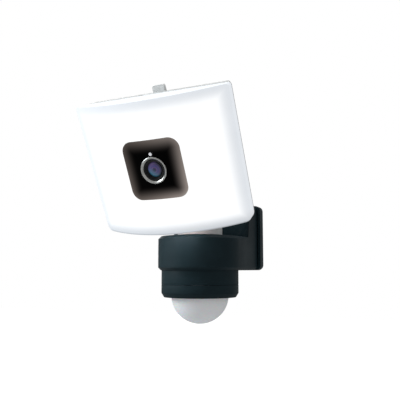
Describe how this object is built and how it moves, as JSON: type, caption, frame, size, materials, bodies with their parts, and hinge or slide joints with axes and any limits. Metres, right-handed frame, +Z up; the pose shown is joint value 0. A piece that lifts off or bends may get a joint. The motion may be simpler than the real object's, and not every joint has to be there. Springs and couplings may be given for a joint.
{
  "type": "floodlight security camera",
  "caption": "Wide lit lamp head with a camera in its middle, on a panning and tilting neck over a wall base that carries a motion sensor with a dome lens.",
  "frame": {"origin": "centre of the wall plate's back face, which lies on the wall", "axes": "+Y into the wall, so the camera looks along -Y; +X to the viewer's right; +Z up"},
  "size_m": [0.1591, 0.2184, 0.2327],
  "materials": {
    "anthracite_plastic": "dark blue-grey moulded plastic, satin, very fine grain",
    "white_plastic": "white moulded plastic, satin",
    "opal_plastic": "milky light-spreading plastic, smooth",
    "dome_plastic": "thin milky sensor lens plastic, satin",
    "black_window": "black glossy window",
    "black_plastic": "black matt plastic",
    "rubber": "black soft rubber",
    "grey_rubber": "light grey soft rubber",
    "silver_ring": "turned and polished ring",
    "steel": "zinc-plated steel",
    "aluminium": "plain sheet",
    "white_board": "white lacquered circuit board",
    "circuit_board": "green lacquered circuit board",
    "coated_glass": "coated camera lens, blue to violet reflection",
    "copper": "copper foil",
    "ferrite": "dark ferrite and tape"
  },
  "bodies": {
    "base": {"wall_plate": "anthracite_plastic", "wall_gasket": "rubber", "cable_grommet": "rubber", "base_housing": "anthracite_plastic", "base_screw_left": "steel", "base_screw_right": "steel", "terminal_block": "white_plastic", "power_board": "circuit_board", "transformer": "ferrite", "capacitor": "black_plastic", "sensor_collar": "anthracite_plastic", "sensor_dome": "dome_plastic", "sensor_seal": "rubber", "sensor_board": "circuit_board", "pyro_sensor": "steel", "pan_washer": "dome_plastic"},
    "sensor_ring": {"sensor_ring": "anthracite_plastic"},
    "neck": {"pan_spring_washer": "steel", "pan_nut": "steel", "neck_arm": "white_plastic", "neck_cover": "white_plastic", "neck_wires": "rubber", "tilt_bolt": "steel", "tilt_nut": "steel", "tilt_washer_left": "steel", "tilt_washer_right": "steel"},
    "head": {"head_housing": "white_plastic", "diffuser": "opal_plastic", "diffuser_gasket": "rubber", "led_board": "white_board", "heat_spreader": "aluminium", "camera_window": "black_window", "camera_frame": "black_plastic", "lens_ring": "silver_ring", "lens_barrel": "black_plastic", "lens_front_glass": "coated_glass", "lens_rear_glass": "coated_glass", "camera_board": "circuit_board", "light_pipe": "opal_plastic", "control_board": "circuit_board", "card_socket": "steel", "speaker": "black_plastic", "microphone": "steel", "wireless_antenna": "copper", "head_screw_1": "steel", "head_screw_2": "steel", "head_screw_3": "steel", "head_screw_4": "steel", "tilt_cap_left": "white_plastic", "tilt_cap_right": "white_plastic"},
    "card_flap": {"card_flap": "grey_rubber"},
    "reset_button": {"reset_button": "white_plastic"}
  },
  "joints": [
    {"name": "pan", "type": "hinge", "parent": "base", "child": "neck", "pos_m": [0, -0.078, 0], "axis": [0, 0, 1], "range_deg": [-55, 55]},
    {"name": "tilt", "type": "hinge", "parent": "neck", "child": "head", "pos_m": [0, -0.1074, 0.0462], "axis": [1, 0, 0], "range_deg": [-27, 17.5]},
    {"name": "flap_swing", "type": "hinge", "parent": "head", "child": "card_flap", "pos_m": [-0.00373, -0.18262, 0.12743], "axis": [0.9994, -0.0161, 0.031], "range_deg": [0, 95], "stiffness_Nm_per_rad": 0.003},
    {"name": "reset_press", "type": "slide", "parent": "head", "child": "reset_button", "axis": [0.0349, 0.4599, -0.8873], "range_m": [0, 0.0008], "stiffness_N_per_m": 800},
    {"name": "ring_turn", "type": "hinge", "parent": "base", "child": "sensor_ring", "pos_m": [0, -0.078, -0.05], "axis": [0, 0, 1], "range_deg": [0, 20]}
  ]
}
